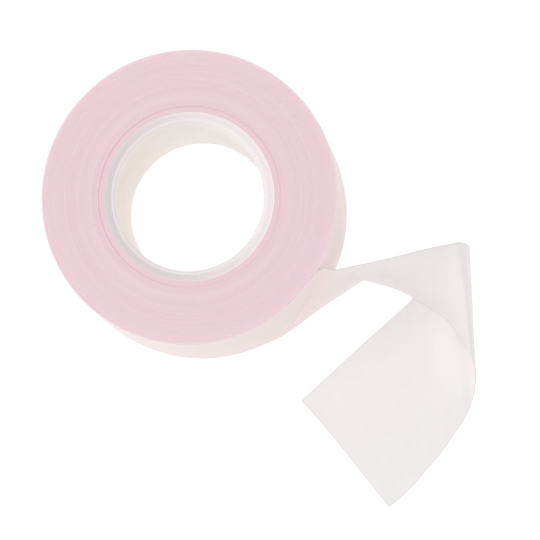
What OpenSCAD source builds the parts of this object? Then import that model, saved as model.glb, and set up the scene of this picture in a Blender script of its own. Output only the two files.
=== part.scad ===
// A roll of correction tape on a paper core, lying on its end, with a free tail that turns over once.
// +Z is the roll's axis. The origin is the centre of the core's hole, on the end that the roll rests on.

/* [Roll] */
// Width of the tape, which is also the height of the roll
tape_w = 24; // [23.5:0.1:24.5]
// Outer radius of the wound tape
roll_r = 25; // [24.9:0.1:25]
// Radius at which the tight first turns end and the main pack begins
starter_r = 15.4; // [15:0.1:17]

/* [Core] */
// Radius of the hole through the core
bore_r = 12.7; // [12.5:0.05:12.8]
// Outer radius of the core
core_r = 14.4; // [14.2:0.1:14.6]
// Thickness of the smooth inner ply that lines the hole
liner_t = 0.5; // [0.3:0.1:0.6]
// Thickness of the outer ply that the tape is started on
wrap_t = 0.3; // [0.2:0.1:0.4]

/* [Tape] */
// Thickness of the backing of the tape
backing_t = 0.1; // [0.08:0.01:0.15]
// Thickness of the adhesive coat under the backing
adhesive_t = 0.05; // [0.04:0.01:0.08]
// Height of the outermost turn's ring, measured along the radius
last_turn_t = 0.3; // [0.2:0.05:0.4]
// Radial clearance that lets the outermost turn travel round the pack
turn_gap = 0.05; // [0.03:0.01:0.1]

/* [Tail] */
// Angle round the roll at which the tail's top edge comes off
top_peel_angle = -30.3; // [-32:0.1:-29]
// Angle round the roll at which the tail's bottom edge comes off
bottom_peel_angle = -57; // [-58:0.5:-56]
// Half of the gap between two stretches of the tail that turn against each other
joint_gap = 0.12; // [0.1:0.01:0.2]

/* [Hidden] */

$fn = 96;
// Facets of the tail: strips across its width, and steps between two control points
across = 4;
steps = 6;
// The tail's rest clearance from the outermost turn
root_clear = 0.15;
root_r = roll_r + root_clear;

// The tail is a ruled strip. Each control point of its top edge is joined by a straight line to the
// control point of its bottom edge with the same index. The first stretch leaves the roll, and the
// second begins at a crease that stands upright beside it.
root_top = [peel_point(top_peel_angle, tape_w), [24.4, -12.4, 24], [27.2, -11.9, 24]];
root_bottom = [peel_point(bottom_peel_angle, 0), [21.1, -15.8, 0], [27.9, -11.3, 0]];
run_top = [[27.2, -11.9, 24], [30.8, -11.1, 24], [35.2, -10.1, 24], [39.3, -9, 23.7], [43, -8.1, 23],
           [45.6, -7.6, 22.5], [46.8, -7.8, 17.8], [45.7, -8.2, 12.4], [42.6, -9.8, 8], [39.3, -12.2, 3.6],
           [35.1, -16.2, 1.6], [29, -21.6, 0.8], [23.1, -27, 0.4], [17.4, -32.3, 0.3]];
run_bottom = [[27.9, -11.3, 0], [30, -11.8, 0.4], [33.8, -13.1, 1.8], [38, -15.5, 3.8], [42.7, -18.9, 5.4],
              [46.4, -24.3, 8.6], [47.5, -27.8, 5.3], [46.9, -32.2, 1.3], [45.4, -35.6, 0.6],
              [43.3, -38.8, 0.6], [41.2, -41.7, 0.4], [38.8, -44.5, 0.3], [36.1, -47.6, 0.3],
              [32.7, -50.6, 0.3]];
// Places along the second stretch, counted in control points: the line at which the strip turns over,
// the line at which its end lifts, and the square cut
fold_line = 6;
lift_line = 10;
cut_end = len(run_top) - 1;
// The joint gap at the crease and at the lift line, and the seam at the fold, counted in control points
crease_gap = joint_gap / 3;
lift_gap = joint_gap / 4;
fold_gap = joint_gap / 8;

function peel_point(angle, z) = [root_r * cos(angle), root_r * sin(angle), z];

// A smooth curve through the points p: t is 0 at the first point and 1 more at each next one
function before(p, i) = i > 0 ? p[i - 1] : 2 * p[0] - p[1];
function after(p, i) = i < len(p) - 2 ? p[i + 2] : 2 * p[i + 1] - p[i];
function blend(a, b, c, d, u) =
    0.5 * (2 * b + (c - a) * u + (2 * a - 5 * b + 4 * c - d) * u * u + (3 * b - a - 3 * c + d) * u * u * u);
function curve(p, t) =
    let (i = min(floor(t), len(p) - 2))
    blend(before(p, i), p[i], p[i + 1], after(p, i), t - i);
function slope(p, t) =
    let (d = 0.01, t0 = max(t - d, 0), t1 = min(t + d, len(p) - 1))
    (curve(p, t1) - curve(p, t0)) / (t1 - t0);

// The strip's middle surface at t along it and f across it, from the top edge to the bottom edge.
// Where a straight line between the edges would cut into the roll, the strip lies round it.
function unit(v) = v / norm(v);
function off_roll(p) =
    let (r = norm([p[0], p[1]]), k = max(1, root_r / r))
    [p[0] * k, p[1] * k, p[2]];
function strip_point(top, bottom, t, f) = off_roll(curve(top, t) * (1 - f) + curve(bottom, t) * f);
function strip_normal(top, bottom, t, f) =
    unit(cross(slope(top, t) * (1 - f) + slope(bottom, t) * f, curve(bottom, t) - curve(top, t)));

// One layer of the strip between t0 and t1, from low to high along the outward normal
module layer(top, bottom, t0, t1, low, high) {
    rows = ceil((t1 - t0) * steps);
    per_side = (rows + 1) * (across + 1);
    points = [for (h = [low, high], i = [0 : rows], j = [0 : across])
        let (t = t0 + (t1 - t0) * i / rows, f = j / across)
        strip_point(top, bottom, t, f) - h * strip_normal(top, bottom, t, f)];
    at = function (side, i, j) side * per_side + i * (across + 1) + j;
    skin = [for (i = [0 : rows - 1], j = [0 : across - 1], half = [0, 1])
        half == 0 ? [[i, j], [i + 1, j], [i + 1, j + 1]] : [[i, j], [i + 1, j + 1], [i, j + 1]]];
    rim = concat([for (i = [0 : rows - 1]) [[i, 0], [i + 1, 0]]],
                 [for (j = [0 : across - 1]) [[rows, j], [rows, j + 1]]],
                 [for (i = [rows : -1 : 1]) [[i, across], [i - 1, across]]],
                 [for (j = [across : -1 : 1]) [[0, j], [0, j - 1]]]);
    faces = concat(
        [for (s = skin) [for (k = [0, 1, 2]) at(0, s[k][0], s[k][1])]],
        [for (s = skin) [for (k = [2, 1, 0]) at(1, s[k][0], s[k][1])]],
        [for (e = rim) [at(0, e[1][0], e[1][1]), at(0, e[0][0], e[0][1]), at(1, e[0][0], e[0][1])]],
        [for (e = rim) [at(0, e[1][0], e[1][1]), at(1, e[0][0], e[0][1]), at(1, e[1][0], e[1][1])]]);
    polyhedron(points, faces, convexity = 6);
}

module ring(inner, outer) {
    difference() {
        cylinder(r = outer, h = tape_w);
        translate([0, 0, -1]) cylinder(r = inner, h = tape_w + 2);
    }
}

module core_liner() color("#efe6da") ring(bore_r, bore_r + liner_t);
module core_board() color("#dcd8d6") ring(bore_r + liner_t, core_r - wrap_t);
module core_wrap() color("#eeeaea") ring(core_r - wrap_t, core_r);
module starter_turns() color("#e6cdd3") ring(core_r, starter_r);
module tape_pack() color("#ecced6") ring(starter_r, roll_r - last_turn_t - turn_gap);
module last_turn() color("#efe4e2") ring(roll_r - last_turn_t, roll_r);

module tail_root_backing() color("#ece0de") layer(root_top, root_bottom, 0, 2 - crease_gap, 0, backing_t);
module tail_root_adhesive() color("#f1e9e8") layer(root_top, root_bottom, 0, 2 - crease_gap, -adhesive_t, 0);
module tail_span_backing() color("#ebe4e4")
    layer(run_top, run_bottom, crease_gap, fold_line - fold_gap, 0, backing_t);
module tail_span_adhesive() color("#f1e9e8")
    layer(run_top, run_bottom, crease_gap, fold_line - fold_gap, -adhesive_t, 0);
module tail_flap_backing() color("#ebe4e4")
    layer(run_top, run_bottom, fold_line + fold_gap, lift_line - lift_gap, 0, backing_t);
module tail_flap_adhesive() color("#f1ebeb")
    layer(run_top, run_bottom, fold_line + fold_gap, lift_line - lift_gap, -adhesive_t, 0);
module tail_end_backing() color("#ebe4e4")
    layer(run_top, run_bottom, lift_line + lift_gap, cut_end, 0, backing_t);
module tail_end_adhesive() color("#f1ebeb")
    layer(run_top, run_bottom, lift_line + lift_gap, cut_end, -adhesive_t, 0);

core_liner();
core_board();
core_wrap();
starter_turns();
tape_pack();
last_turn();
tail_root_backing();
tail_root_adhesive();
tail_span_backing();
tail_span_adhesive();
tail_flap_backing();
tail_flap_adhesive();
tail_end_backing();
tail_end_adhesive();
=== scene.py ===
import math

import bmesh
import bpy
from mathutils import Matrix, Vector, noise


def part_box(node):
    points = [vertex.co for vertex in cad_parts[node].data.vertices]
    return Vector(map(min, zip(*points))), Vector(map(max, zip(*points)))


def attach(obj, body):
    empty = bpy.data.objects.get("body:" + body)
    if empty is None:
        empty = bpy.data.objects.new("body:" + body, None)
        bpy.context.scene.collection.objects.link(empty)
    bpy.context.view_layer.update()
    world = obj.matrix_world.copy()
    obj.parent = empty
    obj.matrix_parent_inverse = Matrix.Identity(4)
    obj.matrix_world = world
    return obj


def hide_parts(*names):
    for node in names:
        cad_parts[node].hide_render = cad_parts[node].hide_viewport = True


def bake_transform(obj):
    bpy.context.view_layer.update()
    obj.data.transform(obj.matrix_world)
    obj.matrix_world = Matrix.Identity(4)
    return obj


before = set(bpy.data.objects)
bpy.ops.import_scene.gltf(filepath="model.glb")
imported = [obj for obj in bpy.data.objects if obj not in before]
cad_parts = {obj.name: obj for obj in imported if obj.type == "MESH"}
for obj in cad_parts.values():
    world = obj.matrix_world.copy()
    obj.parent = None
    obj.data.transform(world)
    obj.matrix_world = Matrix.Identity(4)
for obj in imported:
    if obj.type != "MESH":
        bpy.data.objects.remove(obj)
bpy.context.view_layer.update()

MM = 0.001

# Radii and width of the wound roll. All but the hole's radius are read from the frame.
tape_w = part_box("tape_pack")[1].z
bore_r = 12.7 * MM
liner_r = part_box("core_liner")[1].y
board_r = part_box("core_board")[1].y
core_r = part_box("core_wrap")[1].y
starter_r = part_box("starter_turns")[1].y
pack_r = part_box("tape_pack")[1].y
roll_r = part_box("last_turn")[1].y

# One turn of tape: the backing and the adhesive coat
backing_t = 0.1 * MM
adhesive_t = 0.05 * MM
turn_t = backing_t + adhesive_t


# ---------------------------------------------------------------- mesh helpers

def new_object(name, bm, materials, smooth=True):
    bmesh.ops.recalc_face_normals(bm, faces=bm.faces)
    mesh = bpy.data.meshes.new(name)
    bm.to_mesh(mesh)
    bm.free()
    for polygon in mesh.polygons:
        polygon.use_smooth = smooth
    for material in materials:
        mesh.materials.append(material)
    piece = bpy.data.objects.new(name, mesh)
    bpy.context.scene.collection.objects.link(piece)
    return piece


def sharpen(piece, degrees):
    """Keeps edges steeper than this crisp, and shades the rest smooth."""
    piece.data.set_sharp_from_angle(angle=math.radians(degrees))


def wander(u, seed, octaves=3):
    """A smooth repeatable value from about -1 to 1 along a line."""
    return noise.fractal(Vector((u, seed * 7.3, seed * 1.9)), 0.6, 2.1, octaves)


# ---------------------------------------------------------------- materials

def linear(r, g, b):
    def one(v):
        v /= 255
        return v / 12.92 if v <= 0.04045 else ((v + 0.055) / 1.055) ** 2.4
    return one(r), one(g), one(b), 1.0


class Nodes:
    """A short way to build a material's node tree."""

    def __init__(self, material):
        material.use_nodes = True
        self.material = material
        self.tree = material.node_tree
        self.shader = self.tree.nodes["Principled BSDF"]

    def add(self, kind, **settings):
        node = self.tree.nodes.new(kind)
        for key, value in settings.items():
            setattr(node, key, value)
        return node

    def link(self, out, into):
        self.tree.links.new(out, into)

    def math(self, operation, a, b):
        node = self.add("ShaderNodeMath", operation=operation)
        for socket, value in zip(node.inputs, (a, b)):
            if isinstance(value, (int, float)):
                socket.default_value = value
            else:
                self.link(value, socket)
        return node.outputs[0]

    def object_coords(self):
        return self.add("ShaderNodeTexCoord").outputs["Object"]

    def uv(self):
        return self.add("ShaderNodeTexCoord").outputs["UV"]

    def scaled(self, vector, scale):
        node = self.add("ShaderNodeVectorMath", operation="MULTIPLY")
        self.link(vector, node.inputs[0])
        node.inputs[1].default_value = scale
        return node.outputs[0]

    def dot(self, vector, direction):
        node = self.add("ShaderNodeVectorMath", operation="DOT_PRODUCT")
        self.link(vector, node.inputs[0])
        node.inputs[1].default_value = direction
        return node.outputs["Value"]

    def split(self, vector):
        node = self.add("ShaderNodeSeparateXYZ")
        self.link(vector, node.inputs[0])
        return node.outputs["X"], node.outputs["Y"], node.outputs["Z"]

    def noise(self, vector, scale, detail, roughness=0.55):
        return self.noise_node("3D", "Vector", vector, scale, detail, roughness)

    def line_noise(self, value, scale, detail, roughness=0.6):
        return self.noise_node("1D", "W", value, scale, detail, roughness)

    def noise_node(self, dimensions, socket, source, scale, detail, roughness):
        node = self.add("ShaderNodeTexNoise", noise_dimensions=dimensions)
        self.link(source, node.inputs[socket])
        node.inputs["Scale"].default_value = scale
        node.inputs["Detail"].default_value = detail
        node.inputs["Roughness"].default_value = roughness
        return node.outputs["Fac"]

    def ramp(self, value, stops):
        node = self.add("ShaderNodeValToRGB")
        self.link(value, node.inputs["Fac"])
        while len(node.color_ramp.elements) < len(stops):
            node.color_ramp.elements.new(0.5)
        for element, (position, colour) in zip(node.color_ramp.elements, stops):
            element.position = position
            element.color = colour
        return node.outputs["Color"]

    def mix(self, kind, factor, a, b):
        node = self.add("ShaderNodeMix", data_type="RGBA", blend_type=kind)
        for socket, value in ((node.inputs[0], factor), (node.inputs[6], a), (node.inputs[7], b)):
            if isinstance(value, (int, float, tuple)):
                socket.default_value = value
            else:
                self.link(value, socket)
        return node.outputs[2]

    def bump(self, height, strength, depth, normal=None):
        """Relief from a pattern. A height of 1 in the pattern stands for the depth."""
        node = self.add("ShaderNodeBump")
        node.inputs["Strength"].default_value = strength
        node.inputs["Distance"].default_value = depth
        self.link(height, node.inputs["Height"])
        if normal is not None:
            self.link(normal, node.inputs["Normal"])
        return node.outputs["Normal"]

    def between(self, value, start, end, at_start, at_end):
        """A smooth change from at_start to at_end as the value goes from start to end."""
        node = self.add("ShaderNodeMapRange", interpolation_type="SMOOTHSTEP")
        self.link(value, node.inputs["Value"])
        for socket, number in (("From Min", start), ("From Max", end), ("To Min", at_start), ("To Max", at_end)):
            node.inputs[socket].default_value = number
        return node.outputs["Result"]

    def sum_of(self, a, a_share, b, b_share):
        return self.math("ADD", self.math("MULTIPLY", a, a_share), self.math("MULTIPLY", b, b_share))

    def roughness_between(self, value, low, high):
        """Roughness goes from low to high as the value goes from 0 to 1."""
        node = self.add("ShaderNodeMapRange")
        self.link(value, node.inputs["Value"])
        node.inputs["To Min"].default_value = low
        node.inputs["To Max"].default_value = high
        self.link(node.outputs["Result"], self.shader.inputs["Roughness"])

    def finish(self, colour, normal, specular, sheen=0.0):
        self.link(colour, self.shader.inputs["Base Color"])
        self.link(normal, self.shader.inputs["Normal"])
        self.shader.inputs["Specular IOR Level"].default_value = specular
        self.shader.inputs["Sheen Weight"].default_value = sheen
        return self.material


# The direction, square to the roll's axis, towards which the core's cut ends are painted lighter; the side away
# from it gets painted shade
PAINTED_LIGHT_SIDE = (0.9, 0.35, 0.0)


def new_nodes(name):
    return Nodes(bpy.data.materials.new(name))


def radius_of(n, coords):
    """Distance from the roll's axis, in metres."""
    flat = n.scaled(coords, (1, 1, 0))
    length = n.add("ShaderNodeVectorMath", operation="LENGTH")
    n.link(flat, length.inputs[0])
    return length.outputs["Value"]


def tape_edges(name, light, dark, ring_strength):
    """The edges of many wound turns: fine rings, with a slight change of tone from turn to turn. Towards the
    outer rim the last few turns are painted paler, a painted highlight along the rim."""
    n = new_nodes(name)
    coords = n.object_coords()
    radius = radius_of(n, coords)
    wobble = n.math("MULTIPLY", n.noise(coords, 90.0, 2.0), 0.4 * MM)
    ring_at = n.math("ADD", radius, wobble)
    broad = n.line_noise(ring_at, 900.0, 2.0)
    fine = n.line_noise(ring_at, 6000.0, 2.0)
    speck = n.noise(coords, 2600.0, 3.0)
    tone = n.ramp(n.sum_of(broad, 0.55, fine, 0.45), [(0.22, dark), (0.78, light)])
    # painted highlight: paler over the last millimetre or so of turns, out to the rim
    rim = n.between(radius, roll_r - 1.1 * MM, roll_r - 0.2 * MM, 0.0, 0.8)
    tone = n.mix("MIX", rim, tone, linear(248, 225, 231))
    speckled = n.mix("MULTIPLY", 0.08, tone, n.ramp(speck, [(0.35, (0.8, 0.76, 0.78, 1)), (0.6, (1, 1, 1, 1))]))
    n.roughness_between(fine, 0.48, 0.68)
    normal = n.bump(fine, ring_strength, 0.06 * MM)
    normal = n.bump(speck, 0.12, 0.03 * MM, normal)
    return n.finish(speckled, normal, 0.35)


def fibre_paper(name, light, dark, grain, bump_strength, flat=False, specular=0.3, rough=(0.6, 0.8), root=None,
                cut_at=None):
    """Paper: a cloudy tone at a few millimetres, short fibres, and a fine grain that shows in the bump.
    A flat strip is measured along itself. Its slit edges, and its cut if it has one, are a shade
    darker, and it can have a tone of its own at the root, where it leaves the roll."""
    n = new_nodes(name)
    coords = n.uv() if flat else n.object_coords()
    cloud = n.noise(coords, 160.0, 3.0, 0.6)
    fibres = n.noise(n.scaled(coords, (1.0, 0.22, 1.0)), grain, 5.0, 0.7)
    fine = n.noise(coords, 5200.0, 3.0, 0.6)
    tone = n.ramp(n.sum_of(cloud, 0.6, fibres, 0.4), [(0.3, dark), (0.7, light)])
    if flat:
        along, over, _ = n.split(coords)
        if root:
            tone = n.mix("MIX", n.between(along, 9 * MM, 21 * MM, 1.0, 0.0), tone, root)
        from_edge = n.math("MINIMUM", over, n.math("SUBTRACT", tape_w, over))
        if cut_at:
            from_edge = n.math("MINIMUM", from_edge, n.math("SUBTRACT", cut_at, along))
        tone = n.mix("MULTIPLY", n.between(from_edge, 0.0, 0.3 * MM, 1.0, 0.0), tone, linear(243, 240, 241))
    n.roughness_between(fibres, *rough)
    normal = n.bump(fibres, bump_strength, 0.05 * MM)
    normal = n.bump(fine, bump_strength * 0.6, 0.02 * MM, normal)
    return n.finish(tone, normal, specular, 0.05)


def painted_glow(material, centre, reach, strength):
    """Paints a warm glow into thin paper round an upright line at the centre, painted light that fades out with
    the distance.
    """
    n = Nodes(material)
    away = n.add("ShaderNodeVectorMath", operation="DISTANCE")
    n.link(n.scaled(n.object_coords(), (1, 1, 0)), away.inputs[0])
    away.inputs[1].default_value = centre
    n.shader.inputs["Emission Color"].default_value = linear(255, 225, 226)
    n.link(n.between(away.outputs["Value"], 0.0, reach, strength, 0.0), n.shader.inputs["Emission Strength"])


def lining_paper(name, cream, pale, lip):
    """The smooth lining of the hole: cream on one side, a little less so on the other, where painted light makes
    it paler. Near the ends, where it turns over, it is painted paler still as a painted highlight, and its cut
    ends get painted shade on one side."""
    n = new_nodes(name)
    coords = n.object_coords()
    cloud = n.noise(coords, 180.0, 3.0, 0.6)
    fibres = n.noise(coords, 900.0, 5.0, 0.7)
    height = n.split(coords)[2]
    from_end = n.math("MINIMUM", height, n.math("SUBTRACT", tape_w, height))
    # painted light: the side of the wall that faces the light is paler
    paler = n.between(n.dot(coords, (0.6, 0.8, 0.0)), -4 * MM, 14 * MM, 0.0, 1.0)
    wall = n.mix("MIX", paler, cream, pale)
    # painted highlight: paler for the last few millimetres towards each end, where the lip turns over
    tone = n.mix("MIX", n.between(from_end, 0.6 * MM, 3.2 * MM, 1.0, 0.0), wall, lip)
    # painted shade: the cut ends are darker on the side away from the light
    cut_end = n.between(from_end, 0.5 * MM, 1.0 * MM, 1.0, 0.0)
    darker = n.between(n.dot(coords, PAINTED_LIGHT_SIDE), -5 * MM, 15 * MM, 1.0, 0.0)
    tone = n.mix("MULTIPLY", n.math("MULTIPLY", cut_end, darker), tone, linear(245, 246, 246))
    shade = n.ramp(n.sum_of(cloud, 0.6, fibres, 0.4), [(0.3, linear(250, 249, 248)), (0.7, (1, 1, 1, 1))])
    tone = n.mix("MULTIPLY", 1.0, tone, shade)
    n.roughness_between(fibres, 0.55, 0.75)
    return n.finish(tone, n.bump(fibres, 0.2, 0.05 * MM), 0.3, 0.05)


def board_edge(name, low, middle, high):
    """The cut end of board or thick paper: plies as faint rings, torn fibres, and one side greyer with painted
    shade.
    """
    n = new_nodes(name)
    coords = n.object_coords()
    plies = n.line_noise(radius_of(n, coords), 2600.0, 2.0)
    fibres = n.noise(coords, 1900.0, 6.0, 0.75)
    tone = n.ramp(n.sum_of(plies, 0.5, fibres, 0.5), [(0.25, low), (0.5, middle), (0.8, high)])
    # painted shade: the side away from the light is greyer
    greyer = n.between(n.dot(coords, PAINTED_LIGHT_SIDE), -13 * MM, 13 * MM, 1.0, 0.0)
    tone = n.mix("MULTIPLY", greyer, tone, linear(234, 233, 232))
    n.roughness_between(fibres, 0.75, 0.92)
    normal = n.bump(fibres, 0.35, 0.08 * MM)
    normal = n.bump(plies, 0.2, 0.06 * MM, normal)
    return n.finish(tone, normal, 0.2)


edge_main = tape_edges("wound_edges", linear(247, 221, 227), linear(242, 213, 220), 0.16)
edge_tight = tape_edges("tight_edges", linear(247, 219, 226), linear(241, 210, 218), 0.14)
backing = fibre_paper("tape_backing_paper", linear(244, 231, 230), linear(239, 225, 224), 900.0, 0.15)
# The narrow gap between the roll and the tail is painted bright: a painted glow in the backing paper lightens
# the shade there.
painted_glow(backing, (22.7 * MM, -10.5 * MM, 0), 5.5 * MM, 0.095)
liner_paper = lining_paper("cream_lining", linear(250, 244, 239), linear(254, 251, 251), linear(254, 247, 248))
board = board_edge("cut_board", linear(240, 229, 232), linear(247, 237, 240), linear(254, 244, 247))
wrap_paper = board_edge("white_wrap", linear(244, 235, 237), linear(250, 242, 244), linear(254, 247, 249))


# ---------------------------------------------------------------- the core and the wound turns

# Steps round the roll
AROUND = 180
AROUND_OUTSIDE = 240


def ring_of_sections(name, section, materials, pick=None, around=AROUND):
    """A closed ring from a closed section, given as (r, z) points at each angle. The pick function
    gives the material's index for each side of the section."""
    bm = bmesh.new()
    rows = []
    for j in range(around):
        angle = 2 * math.pi * j / around
        row = [bm.verts.new((r * math.cos(angle), r * math.sin(angle), z)) for r, z in section(angle)]
        rows.append(row)
    for j in range(around):
        a, b = rows[j], rows[(j + 1) % around]
        for i in range(len(a)):
            k = (i + 1) % len(a)
            face = bm.faces.new((a[i], a[k], b[k], b[i]))
            if pick:
                face.material_index = pick(i)
    return new_object(name, bm, materials)


def around_noise(angle, r, seed):
    """A smooth value from about -1 to 1 that closes on itself round a ring of radius r."""
    return noise.fractal(Vector((math.cos(angle) * 2.5, math.sin(angle) * 2.5, seed + r * 900)), 0.6, 2.1, 3)


def core_ply(name, inner, outer, dish_inner, dish_outer, ripple, seed, materials):
    """One ply of the core. Its ends are cut a little below the tape's and dip towards the hole."""
    steps = 6

    def section(angle):
        top = []
        for i in range(steps + 1):
            f = i / steps
            r = inner + (outer - inner) * f
            dip = dish_inner + (dish_outer - dish_inner) * f + ripple * (1 + around_noise(angle, r, seed)) / 2
            top.append((r, tape_w - dip))
        bottom = [(r, tape_w - z) for r, z in reversed(top)]
        return top + bottom

    piece = ring_of_sections(name, section, materials)
    sharpen(piece, 40)
    return piece


# The lining's section at a cut end: share of its thickness out from the hole, depth below the end in
# millimetres, and how much of the lip it has there
LINING_PROFILE = [
    (1.0, 0.0, 0), (0.72, 0.0, 0), (0.5, 0.02, 0), (0.3, 0.07, 0), (0.15, 0.16, 0), (0.0, 0.32, 0.15),
    (0.0, 0.55, 0.5), (0.0, 0.9, 0.85), (0.0, 1.3, 1), (0.0, 1.8, 0.93), (0.0, 2.5, 0.65), (0.0, 3.4, 0.3),
    (0.0, 4.6, 0), (0.0, 8.0, 0)]


def core_lining(name, inner, outer, dish, materials):
    """The inner ply. It rounds over into the hole at both ends, where it was cut, and stands in there as
    a lip of one to three tenths of a millimetre, a little unevenly round the hole."""

    def lip(angle, mean, change, widest):
        return (mean + change * math.cos(angle - math.radians(widest))) * MM

    def section(angle):
        ripple = 0.02 * MM * around_noise(angle, 0, 11)
        near = lip(angle, 0.17, 0.11, -35)
        far = lip(angle, 0.24, 0.06, 105)
        top = [(inner + (outer - inner) * f - near * turn_in, tape_w - dish - depth * MM - ripple * (1 - f))
               for f, depth, turn_in in LINING_PROFILE]
        bottom = [(inner + (outer - inner) * f - far * turn_in, dish + depth * MM + ripple * (1 - f))
                  for f, depth, turn_in in reversed(LINING_PROFILE)]
        return top + bottom

    piece = ring_of_sections(name, section, materials)
    sharpen(piece, 60)
    return piece


def wound(name, inner, outer, inset, spread, groove, seed, materials):
    """Many turns of tape wound on each other. The turns climb as a spiral, each a little higher or
    lower than its neighbours, with a fine groove between two of them."""
    turns = int((outer - inner) / turn_t)
    per_turn = 3
    columns = (turns + 1) * per_turn
    bm = bmesh.new()

    def dip_of(turn):
        slow = wander(turn * 0.23, seed)
        quick = wander(turn * 1.7, seed + 3, 2)
        return inset + spread * (0.5 + 0.35 * slow + 0.35 * quick)

    def point(i, angle):
        turn = i // per_turn + angle / (2 * math.pi)
        r = inner + turn_t * (i / per_turn - 1 + angle / (2 * math.pi))
        if r <= inner:
            return inner, inset
        if r >= outer:
            return outer, inset
        dip = dip_of(turn)
        if i % per_turn == 0:
            dip = max(dip, dip_of(turn - 1)) + groove
        return r, max(0.0, dip)

    tops, bottoms = [], []
    for j in range(AROUND + 1):
        angle = 2 * math.pi * j / AROUND
        c, s = math.cos(angle), math.sin(angle)
        section = [point(i, angle) for i in range(columns + per_turn)]
        tops.append([bm.verts.new((r * c, r * s, tape_w - dip)) for r, dip in section])
        bottoms.append([bm.verts.new((r * c, r * s, dip)) for r, dip in section])
    for j in range(AROUND):
        loop_a = tops[j] + bottoms[j][::-1]
        loop_b = tops[j + 1] + bottoms[j + 1][::-1]
        for i in range(len(loop_a)):
            k = (i + 1) % len(loop_a)
            bm.faces.new((loop_a[i], loop_a[k], loop_b[k], loop_b[i]))
    bmesh.ops.remove_doubles(bm, verts=bm.verts, dist=1e-7)
    bmesh.ops.dissolve_degenerate(bm, dist=1e-7, edges=bm.edges)
    piece = new_object(name, bm, materials)
    sharpen(piece, 50)
    return piece


liner = core_lining("core_liner_ply", bore_r, liner_r, dish=0.3 * MM, materials=[liner_paper])
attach(liner, "roll")
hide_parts("core_liner")

board_ply = core_ply("core_board_ply", liner_r, board_r, dish_inner=0.29 * MM, dish_outer=0.12 * MM,
                     ripple=0.03 * MM, seed=23, materials=[board])
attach(board_ply, "roll")
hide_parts("core_board")

wrap = core_ply("core_wrap_ply", board_r, core_r, dish_inner=0.12 * MM, dish_outer=0.09 * MM,
                ripple=0.02 * MM, seed=37, materials=[wrap_paper])
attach(wrap, "roll")
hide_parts("core_wrap")

first = wound("first_turns", core_r, starter_r, inset=0.1 * MM, spread=0.05 * MM, groove=0.03 * MM,
              seed=5, materials=[edge_tight])
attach(first, "roll")
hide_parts("starter_turns")

pack = wound("wound_turns", starter_r, pack_r, inset=0.0, spread=0.07 * MM, groove=0.03 * MM,
             seed=8, materials=[edge_main])
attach(pack, "roll")
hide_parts("tape_pack")

# The outermost turns: their edges match the pack's, and their outer face is the tape's backing.
band_inner = pack_r + 0.01 * MM


def band_section(angle):
    rounding = 0.04 * MM
    edge = 0.02 * MM + 0.01 * MM * wander(math.cos(angle) * 2 + 5, 4)
    half = [(band_inner, tape_w - edge), (roll_r - rounding, tape_w - edge), (roll_r, tape_w - edge - rounding),
            (roll_r, tape_w * 0.7)]
    return half + [(r, tape_w - z) for r, z in reversed(half)]


def edge_or_backing(side):
    """Sides 2, 3 and 4 of the band's section face outwards."""
    return 1 if side in (2, 3, 4) else 0


band = ring_of_sections("outer_turn_band", band_section, [edge_main, backing], edge_or_backing, AROUND_OUTSIDE)
sharpen(band, 35)
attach(band, "outer_turn")
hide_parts("last_turn")


# ---------------------------------------------------------------- the free tail

# Where the tail's two edges leave the roll. The strip starts a little before that, just under the
# outermost turn's face, and climbs out of it.
top_peel_angle = math.radians(-30.3)
bottom_peel_angle = math.radians(-57)
root_r = roll_r + 0.15 * MM
lead_in = math.radians(18)
lead_r = roll_r - 0.14 * MM


def on_roll(angle, z, r=root_r):
    return Vector((r * math.cos(angle), r * math.sin(angle), z))


def points(*rows):
    return [Vector(row) * MM for row in rows]


# The strip's two edges. A straight line joins the points with the same index.
ROOT_TOP = [on_roll(top_peel_angle - lead_in, tape_w, lead_r), on_roll(top_peel_angle, tape_w)]
ROOT_TOP += points((24.4, -12.4, 24), (27.2, -11.9, 24))
ROOT_BOTTOM = [on_roll(bottom_peel_angle - lead_in, 0, lead_r), on_roll(bottom_peel_angle, 0)]
ROOT_BOTTOM += points((21.1, -15.8, 0), (27.9, -11.3, 0))
RUN_TOP = points(
    (27.2, -11.9, 24), (30.8, -11.1, 24), (35.2, -10.1, 24), (39.3, -9, 23.7), (43, -8.1, 23),
    (45.6, -7.6, 22.5), (46.8, -7.8, 17.8), (45.7, -8.2, 12.4), (42.6, -9.8, 8), (39.3, -12.2, 3.6),
    (35.1, -16.2, 1.6), (29, -21.6, 0.8), (23.1, -27, 0.4), (17.4, -32.3, 0.3))
RUN_BOTTOM = points(
    (27.9, -11.3, 0), (30, -11.8, 0.4), (33.8, -13.1, 1.8), (38, -15.5, 3.8), (42.7, -18.9, 5.4),
    (46.4, -24.3, 8.6), (47.5, -27.8, 5.3), (46.9, -32.2, 1.3), (45.4, -35.6, 0.6), (43.3, -38.8, 0.6),
    (41.2, -41.7, 0.4), (38.8, -44.5, 0.3), (36.1, -47.6, 0.3), (32.7, -50.6, 0.3))
# Where the strip turns over, counted in points of the run
FOLD_LINE = 6

# The mesh of the strip: columns across it, and rows from one point to the next
ACROSS = 32
ROWS_PER_POINT = 12


def curve(p, t):
    """A smooth curve through the points p, 1 in t from each to the next."""
    i = min(int(t), len(p) - 2)
    u = t - i
    a = p[i - 1] if i > 0 else 2 * p[0] - p[1]
    b, c = p[i], p[i + 1]
    d = p[i + 2] if i < len(p) - 2 else 2 * p[i + 1] - p[i]
    return 0.5 * (2 * b + (c - a) * u + (2 * a - 5 * b + 4 * c - d) * u * u + (3 * b - a - 3 * c + d) * u ** 3)


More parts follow.
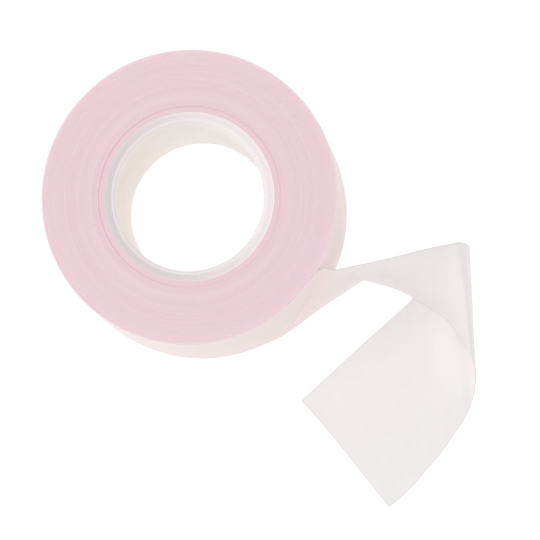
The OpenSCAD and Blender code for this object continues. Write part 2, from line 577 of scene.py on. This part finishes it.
def strip_point(top, bottom, t, f, clear):
    """The strip at t along it and f across it, pushed out to the radius clear where it would be inside."""
    p = curve(top, t).lerp(curve(bottom, t), f)
    r = math.hypot(p.x, p.y)
    if r < clear:
        p.x, p.y = p.x * clear / r, p.y * clear / r
    return p


def strip_rows(*stretches):
    """The strip's middle surface: rows of points across it, along one or more stretches."""
    rows = []
    for top, bottom, t0, t1, clear in stretches:
        count = (t1 - t0) * ROWS_PER_POINT
        for i in range(1 if rows else 0, count + 1):
            t = t0 + (t1 - t0) * i / count
            rows.append([strip_point(top, bottom, t, j / ACROSS, clear) for j in range(ACROSS + 1)])
    return rows


def hollow_cut(rows, depth, reach):
    """Draws the last rows back, so that the cut is a little hollow, most of all at a third of the way
    across from the strip's top edge."""
    last = len(rows) - 1
    peak = 4 / 27
    for i in range(last - reach + 1, last + 1):
        for j in range(ACROSS + 1):
            f = j / ACROSS
            back = depth * f * (1 - f) ** 2 / peak * (i - last + reach) / reach
            rows[i][j] -= (rows[i][j] - rows[i - 1][j]).normalized() * back


def relax(p):
    """A slight unevenness of thin paper, the same wherever two pieces meet."""
    return 0.05 * MM * noise.fractal(p * 110, 0.7, 2.0, 2)


def strip_layer(name, rows, low, high, materials):
    """A closed thin layer on the strip, from low to high on its outer side."""
    count, width = len(rows), len(rows[0])
    normals = []
    for i in range(count):
        before, after = rows[max(i - 1, 0)], rows[min(i + 1, count - 1)]
        line = []
        for j in range(width):
            along = after[j] - before[j]
            over = rows[i][min(j + 1, width - 1)] - rows[i][max(j - 1, 0)]
            line.append(-along.cross(over).normalized())
        normals.append(line)
    bm = bmesh.new()
    uv = bm.loops.layers.uv.new("flat")
    flat = {}
    sides = []
    for h in (low, high):
        side, s = [], 0.0
        for i in range(count):
            if i:
                s += (rows[i][width // 2] - rows[i - 1][width // 2]).length
            line = []
            for j in range(width):
                p = rows[i][j]
                v = bm.verts.new(p + normals[i][j] * (h + relax(p)))
                flat[v] = (s, tape_w * j / (width - 1))
                line.append(v)
            side.append(line)
        sides.append(side)
    inner, outer = sides
    for i in range(count - 1):
        for j in range(width - 1):
            bm.faces.new((outer[i][j], outer[i][j + 1], outer[i + 1][j + 1], outer[i + 1][j]))
            bm.faces.new((inner[i][j], inner[i + 1][j], inner[i + 1][j + 1], inner[i][j + 1]))
        for j in (0, width - 1):
            bm.faces.new((inner[i][j], outer[i][j], outer[i + 1][j], inner[i + 1][j]))
    for i in (0, count - 1):
        for j in range(width - 1):
            bm.faces.new((inner[i][j], outer[i][j], outer[i][j + 1], inner[i][j + 1]))
    for face in bm.faces:
        for loop in face.loops:
            loop[uv].uv = flat[loop.vert]
    piece = new_object(name, bm, materials)
    sharpen(piece, 40)
    return piece


def length_of(rows):
    middle = len(rows[0]) // 2
    return sum((rows[i + 1][middle] - rows[i][middle]).length for i in range(len(rows) - 1))


near_rows = strip_rows((ROOT_TOP, ROOT_BOTTOM, 0, 1, 0), (ROOT_TOP, ROOT_BOTTOM, 1, 3, root_r),
                       (RUN_TOP, RUN_BOTTOM, 0, FOLD_LINE, root_r))
far_rows = strip_rows((RUN_TOP, RUN_BOTTOM, FOLD_LINE, len(RUN_TOP) - 1, root_r))
hollow_cut(far_rows, depth=0.24 * MM, reach=ROWS_PER_POINT)

near_length, far_length = length_of(near_rows), length_of(far_rows)
GLOSSIER = (0.42, 0.6)
near_paper = fibre_paper("tail_backing_paper", linear(242, 237, 237), linear(239, 233, 233), 900.0, 0.15, True,
                         root=linear(245, 228, 227))
near_coat = fibre_paper("tail_adhesive_coat", linear(246, 240, 240), linear(241, 235, 235), 700.0, 0.12, True,
                        specular=0.4, rough=GLOSSIER)
far_paper = fibre_paper("end_backing_paper", linear(241, 236, 236), linear(238, 232, 232), 900.0, 0.15, True,
                        cut_at=far_length)
far_coat = fibre_paper("end_adhesive_coat", linear(250, 246, 246), linear(246, 241, 241), 700.0, 0.12, True,
                       specular=0.4, rough=GLOSSIER, cut_at=far_length)
near_backing = strip_layer("tail_near_backing", near_rows, 0, backing_t, [near_paper])
near_adhesive = strip_layer("tail_near_adhesive", near_rows, -adhesive_t, 0, [near_coat])
far_backing = strip_layer("tail_far_backing", far_rows, 0, backing_t, [far_paper])
far_adhesive = strip_layer("tail_far_adhesive", far_rows, -adhesive_t, 0, [far_coat])

for piece, layer in ((near_backing, "backing"), (near_adhesive, "adhesive")):
    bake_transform(piece)
    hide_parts("tail_root_" + layer, "tail_span_" + layer)
for piece, layer in ((far_backing, "backing"), (far_adhesive, "adhesive")):
    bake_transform(piece)
    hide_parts("tail_flap_" + layer, "tail_end_" + layer)


# ---------------------------------------------------------------- floor, light and camera

def floor_material():
    """A white light table. It gives light itself, so that an object has no hard shadow on it."""
    n = new_nodes("pale_floor")
    cloud = n.noise(n.object_coords(), 6.0, 2.0)
    tone = n.ramp(cloud, [(0.3, (0.15, 0.15, 0.15, 1)), (0.7, (0.17, 0.17, 0.17, 1))])
    n.shader.inputs["Emission Color"].default_value = (1.0, 1.0, 1.0, 1.0)
    n.shader.inputs["Emission Strength"].default_value = 0.9
    n.roughness_between(cloud, 0.85, 0.9)
    normal = n.bump(cloud, 0.02, 0.0001)
    return n.finish(tone, normal, 0.1)


def make_floor():
    bm = bmesh.new()
    bmesh.ops.create_grid(bm, x_segments=8, y_segments=8, size=3.0)
    floor = new_object("studio_floor", bm, [floor_material()])
    floor.location.z = -0.02 * MM


def area_light(name, place, size, power, colour):
    """A round soft light that faces the object's middle."""
    middle = (0.012, -0.012, 0.01)
    light = bpy.data.lights.new(name, "AREA")
    light.shape = "DISK"
    light.size = size
    light.energy = power
    light.color = colour
    lamp = bpy.data.objects.new(name, light)
    lamp.location = place
    lamp.rotation_mode = "QUATERNION"
    lamp.rotation_quaternion = (Vector(middle) - Vector(place)).to_track_quat("-Z", "Y")
    bpy.context.scene.collection.objects.link(lamp)


def make_light():
    world = bpy.data.worlds.new("studio")
    world.use_nodes = True
    world.node_tree.nodes["Background"].inputs["Color"].default_value = (1.0, 1.0, 1.0, 1.0)
    world.node_tree.nodes["Background"].inputs["Strength"].default_value = 0.845
    bpy.context.scene.world = world
    area_light("key_left", (-0.82, -0.22, 0.5), 0.6, 1.4, (1.0, 0.995, 0.985))
    area_light("overhead", (0.1, 0.25, 0.9), 0.9, 0.3, (1.0, 1.0, 1.0))


def make_camera():
    """A long lens, 0.7 m above the table, which looks down, eight degrees off upright."""
    data = bpy.data.cameras.new("camera")
    data.lens = 266.67
    data.sensor_width = 36
    data.clip_start, data.clip_end = 0.05, 20
    camera = bpy.data.objects.new("camera", data)
    right = Vector((0.99647, 0.00993, -0.08333))
    up = Vector((0, 0.99298, 0.11831))
    back = right.cross(up)
    turn = Matrix((right, up, back)).transposed()
    camera.matrix_world = Matrix.Translation((0.069908, -0.091316, 0.686097)) @ turn.to_4x4()
    bpy.context.scene.collection.objects.link(camera)
    bpy.context.scene.camera = camera


make_floor()
make_light()
make_camera()
bpy.context.scene.view_settings.view_transform = "Standard"
